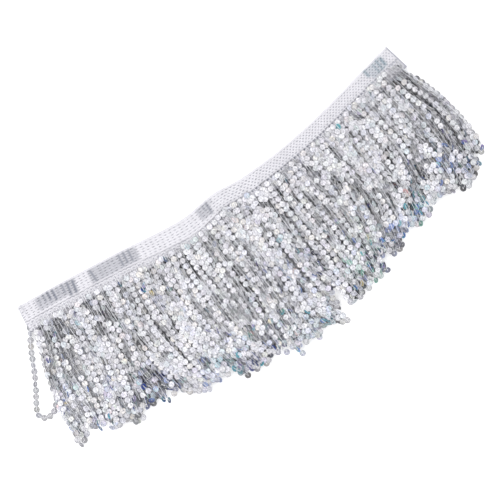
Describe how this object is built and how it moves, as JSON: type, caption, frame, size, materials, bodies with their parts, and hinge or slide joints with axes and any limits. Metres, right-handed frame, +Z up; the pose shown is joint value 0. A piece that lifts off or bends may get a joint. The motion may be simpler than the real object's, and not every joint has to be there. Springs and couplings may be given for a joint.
{
  "type": "sequin tassel fringe trim",
  "caption": "Knitted heading tape with long hanging strings of round silver sequins, folded flat back and forth in layers.",
  "frame": {"origin": "on the surface that the trim lies on, under the middle of its bounding box", "axes": "+X along the heading tape, +Y across the tape and away from the strands, +Z up from the surface"},
  "size_m": [0.3642, 0.1406, 0.0087],
  "materials": {
    "knitted_yarn": "soft white knitted yarn with a faint lavender cast",
    "silver_sequins": "shiny silver film with a holographic sheen"
  },
  "bodies": {
    "root": {"heading_tape": "knitted_yarn", "fringe_front": "silver_sequins", "fringe_middle": "silver_sequins", "fringe_back": "silver_sequins"}
  },
  "joints": []
}
